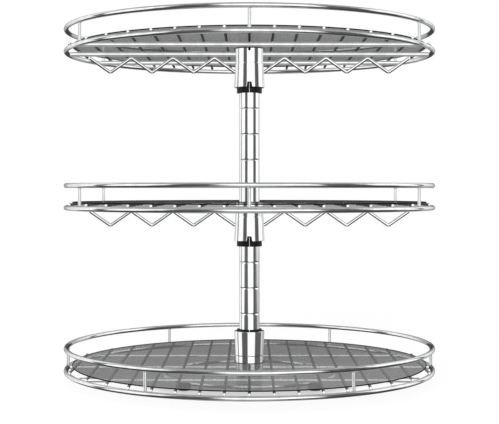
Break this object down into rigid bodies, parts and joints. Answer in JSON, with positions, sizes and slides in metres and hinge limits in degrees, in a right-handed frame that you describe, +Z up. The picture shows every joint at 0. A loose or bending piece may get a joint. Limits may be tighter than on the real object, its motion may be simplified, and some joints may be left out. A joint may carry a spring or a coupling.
{
  "type": "rotating wire rack",
  "caption": "Free-standing round wire rack: trays with rails and grey liners on a grooved pole that turns on a footed base; upper trays slide to other grooves.",
  "frame": {"origin": "on the floor, at the axis of the pole", "axes": "+Z up along the pole, +X to the right and -Y to the front of the picture"},
  "size_m": [0.36, 0.36, 0.3426],
  "materials": {
    "chrome_wire": "bright chrome-plated steel wire",
    "chrome_tube": "bright chrome-plated steel tube",
    "black_plastic": "moulded, slightly matt",
    "grey_liner": "see-through smoke-grey sheet",
    "black_rubber": "moulded rubber",
    "white_nylon": "turned nylon",
    "zinc_steel": "zinc-plated steel"
  },
  "bodies": {
    "base": {"base_ring": "chrome_wire", "base_arms": "chrome_wire", "rubber_feet": "black_rubber", "base_hub": "zinc_steel", "thrust_washer": "white_nylon", "pivot_bolt": "zinc_steel", "lock_nut": "zinc_steel"},
    "rotor": {"turntable_plate": "zinc_steel", "pole": "chrome_tube", "pole_cap": "black_plastic", "bottom_rim_ring": "chrome_wire", "bottom_rail_ring": "chrome_wire", "bottom_rail_posts": "chrome_wire", "bottom_deck_wires": "chrome_wire", "bottom_cross_rods": "chrome_wire", "bottom_liner": "grey_liner", "bottom_collar": "chrome_tube", "bottom_sleeve_left": "black_plastic", "bottom_sleeve_right": "black_plastic"},
    "middle_tray": {"middle_rim_ring": "chrome_wire", "middle_rail_ring": "chrome_wire", "middle_rail_posts": "chrome_wire", "middle_deck_wires": "chrome_wire", "middle_cross_rods": "chrome_wire", "middle_liner": "grey_liner", "middle_collar": "chrome_tube", "middle_sleeve_left": "black_plastic", "middle_sleeve_right": "black_plastic", "middle_truss": "chrome_wire"},
    "top_tray": {"top_rim_ring": "chrome_wire", "top_rail_ring": "chrome_wire", "top_rail_posts": "chrome_wire", "top_deck_wires": "chrome_wire", "top_cross_rods": "chrome_wire", "top_liner": "grey_liner", "top_collar": "chrome_tube", "top_sleeve_left": "black_plastic", "top_sleeve_right": "black_plastic", "top_truss": "chrome_wire"}
  },
  "joints": [
    {"name": "turntable_spin", "type": "hinge", "parent": "base", "child": "rotor", "pos_m": [0, 0, 0.00925], "axis": [0, 0, 1], "continuous": true},
    {"name": "middle_tray_slide", "type": "slide", "parent": "rotor", "child": "middle_tray", "axis": [0, 0, 1], "range_m": [-0.075, 0.1]},
    {"name": "top_tray_slide", "type": "slide", "parent": "rotor", "child": "top_tray", "axis": [0, 0, 1], "range_m": [-0.1, 0]}
  ]
}
